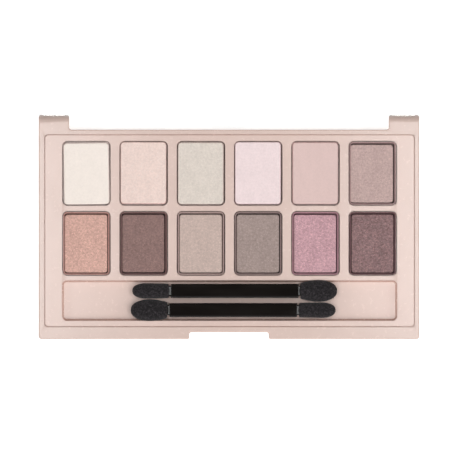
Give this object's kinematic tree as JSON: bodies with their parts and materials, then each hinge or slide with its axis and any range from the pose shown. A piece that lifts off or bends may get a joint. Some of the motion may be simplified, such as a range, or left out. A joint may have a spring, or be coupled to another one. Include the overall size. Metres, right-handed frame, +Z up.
{
  "type": "eyeshadow palette",
  "caption": "Flat eyeshadow palette of pressed shades, with double-ended sponge applicators in a trough and a clear hinged lid standing open.",
  "frame": {"origin": "middle of the base's footprint, on its flat underside", "axes": "+Z up, +X along the long side to the right, +Y towards the hinge at the rear"},
  "size_m": [0.127, 0.0782, 0.0787],
  "materials": {
    "shell_plastic": "satin",
    "deck_plastic": "satin",
    "pan_metal": "satin",
    "handle_plastic": "gloss",
    "foam": "matte",
    "clear_plastic": "gloss",
    "label_paper": "matte",
    "powder_back_1": "matte",
    "powder_back_2": "matte",
    "powder_back_3": "matte",
    "powder_back_4": "matte",
    "powder_back_5": "matte",
    "powder_back_6": "matte",
    "powder_front_1": "matte",
    "powder_front_2": "matte",
    "powder_front_3": "matte",
    "powder_front_4": "matte",
    "powder_front_5": "matte",
    "powder_front_6": "matte"
  },
  "bodies": {
    "base": {"base_shell": "shell_plastic", "deck_insert": "deck_plastic", "pan_back_1": "pan_metal", "eyeshadow_back_1": "powder_back_1", "pan_back_2": "pan_metal", "eyeshadow_back_2": "powder_back_2", "pan_back_3": "pan_metal", "eyeshadow_back_3": "powder_back_3", "pan_back_4": "pan_metal", "eyeshadow_back_4": "powder_back_4", "pan_back_5": "pan_metal", "eyeshadow_back_5": "powder_back_5", "pan_back_6": "pan_metal", "eyeshadow_back_6": "powder_back_6", "pan_front_1": "pan_metal", "eyeshadow_front_1": "powder_front_1", "pan_front_2": "pan_metal", "eyeshadow_front_2": "powder_front_2", "pan_front_3": "pan_metal", "eyeshadow_front_3": "powder_front_3", "pan_front_4": "pan_metal", "eyeshadow_front_4": "powder_front_4", "pan_front_5": "pan_metal", "eyeshadow_front_5": "powder_front_5", "pan_front_6": "pan_metal", "eyeshadow_front_6": "powder_front_6", "underside_label": "label_paper"},
    "lid": {"lid": "clear_plastic"},
    "applicator_rear": {"applicator_rear_handle": "handle_plastic", "applicator_rear_narrow_tip": "foam", "applicator_rear_wide_tip": "foam"},
    "applicator_front": {"applicator_front_handle": "handle_plastic", "applicator_front_narrow_tip": "foam", "applicator_front_wide_tip": "foam"}
  },
  "joints": [
    {"name": "lid_hinge", "type": "hinge", "parent": "base", "child": "lid", "pos_m": [0, 0.03497, 0.0063], "axis": [-1, 0, 0], "range_deg": [-90, 90]},
    {"name": "applicator_rear_slide", "type": "slide", "parent": "base", "child": "applicator_rear", "axis": [1, 0, 0], "range_m": [-0.023, 0.019]},
    {"name": "applicator_front_slide", "type": "slide", "parent": "base", "child": "applicator_front", "axis": [1, 0, 0], "range_m": [-0.022, 0.0195]}
  ]
}
